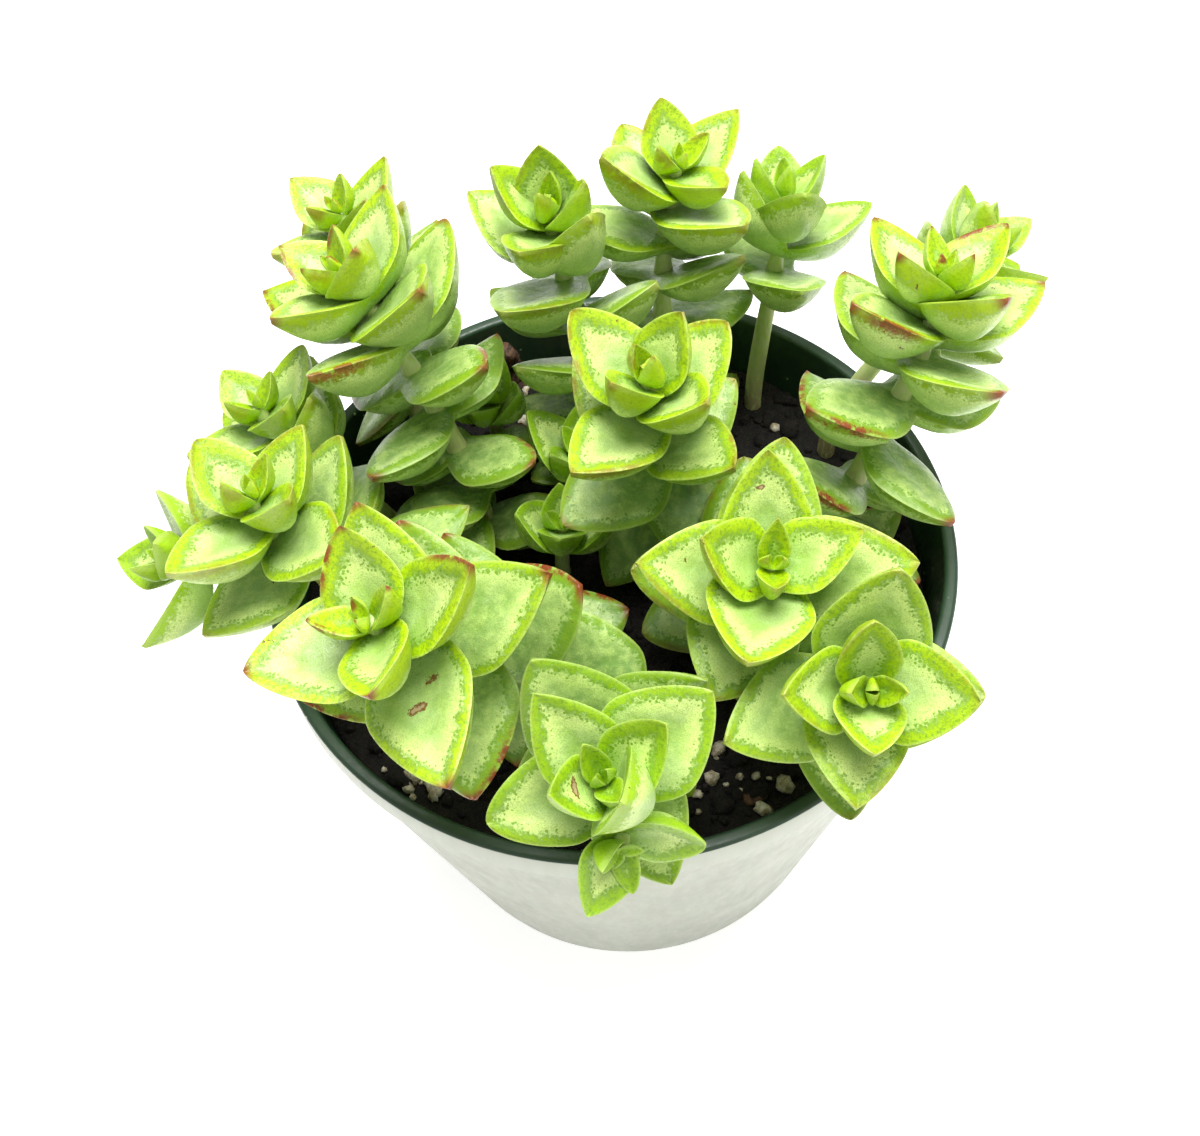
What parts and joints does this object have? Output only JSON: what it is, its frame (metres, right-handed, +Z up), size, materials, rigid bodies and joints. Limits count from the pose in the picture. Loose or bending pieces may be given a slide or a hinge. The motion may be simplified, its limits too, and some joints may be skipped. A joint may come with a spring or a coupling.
{
  "type": "potted succulent",
  "caption": "Succulent with stacked pairs of thick triangular leaves on upright stems, growing in a round tapered nursery pot.",
  "frame": {"origin": "centre of the pot's foot, on the surface it stands on", "axes": "+Z up along the pot's axis, -Y the front, +X to the right seen from the front"},
  "size_m": [0.1418, 0.1215, 0.1301],
  "materials": {
    "pot": "satin",
    "soil": "matte",
    "leaf": "satin"
  },
  "bodies": {
    "root": {"pot": "pot", "soil": "soil", "stem_left_back": "leaf", "stem_far_left_back": "leaf", "stem_left": "leaf", "stem_left_behind": "leaf", "stem_front_left": "leaf", "stem_back": "leaf", "stem_back_right": "leaf", "stem_far_back_right": "leaf", "stem_right_back": "leaf", "stem_far_right": "leaf", "stem_middle": "leaf", "stem_right": "leaf", "stem_front_right": "leaf", "stem_front": "leaf", "stem_inner_left": "leaf", "stem_inner_back": "leaf", "stem_inner_middle": "leaf"}
  },
  "joints": []
}
